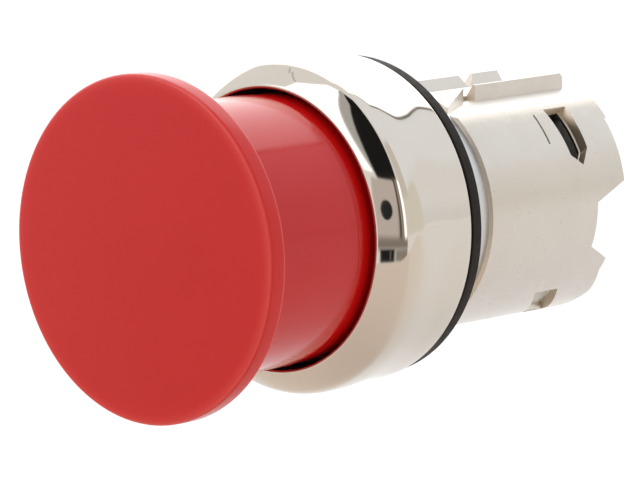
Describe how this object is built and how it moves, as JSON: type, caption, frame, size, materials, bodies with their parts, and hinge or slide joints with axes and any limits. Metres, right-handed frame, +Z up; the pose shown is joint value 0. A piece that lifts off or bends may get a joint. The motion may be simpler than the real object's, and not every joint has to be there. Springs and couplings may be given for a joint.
{
  "type": "emergency stop button head",
  "caption": "Red mushroom push-pull head with a long skirt, polished metal bezel, panel gasket and a slotted metal barrel with key rails for a round panel hole.",
  "frame": {"origin": "on the head's axis, in the plane where the gasket's rear face meets the panel", "axes": "-Y out of the panel towards the user, +Y to the contacts behind it, +Z up at the key rails"},
  "size_m": [0.03, 0.0523, 0.03],
  "materials": {
    "red_plastic": "moulded, fine satin front and glossy skirt",
    "brass": "turned and knurled",
    "steel": "turned, zinc plated",
    "spring_steel": "bright strip",
    "chrome": "mirror polished",
    "nickel": "satin nickel plated casting",
    "rubber": "moulded",
    "ivory_plastic": "moulded",
    "black_plastic": "moulded"
  },
  "bodies": {
    "head": {"bezel": "chrome", "dust_wiper": "rubber", "barrel": "nickel", "panel_gasket": "rubber", "guide_bush": "ivory_plastic", "stem_seal": "rubber", "seal_retainer": "steel", "stop_buffer": "rubber", "latch_carrier": "black_plastic", "latch_spring": "spring_steel", "toggle_seat_right": "ivory_plastic", "toggle_seat_left": "ivory_plastic", "carrier_retainer": "steel"},
    "plunger": {"mushroom_cap": "red_plastic", "cap_insert": "brass", "lock_washer": "steel", "stem": "steel", "pusher": "black_plastic", "pusher_washer": "steel", "pusher_clip": "spring_steel"},
    "toggle_right": {"toggle_lever_right": "steel"},
    "toggle_left": {"toggle_lever_left": "steel"}
  },
  "joints": [
    {"name": "push", "type": "slide", "parent": "head", "child": "plunger", "axis": [0, 1, 0], "range_m": [0, 0.0044]},
    {"name": "toggle_right_swing", "type": "hinge", "parent": "head", "child": "toggle_right", "pos_m": [0.0063, 0.0106, 0], "axis": [0, 0, -1], "range_deg": [0, 66.74]},
    {"name": "toggle_left_swing", "type": "hinge", "parent": "head", "child": "toggle_left", "pos_m": [-0.0063, 0.0106, 0], "axis": [0, 0, 1], "range_deg": [0, 66.74]}
  ],
  "couplings": [
    {"joint": "toggle_right_swing", "follows": "push", "rad_per_m": 264.71},
    {"joint": "toggle_left_swing", "follows": "push", "rad_per_m": 264.71}
  ]
}
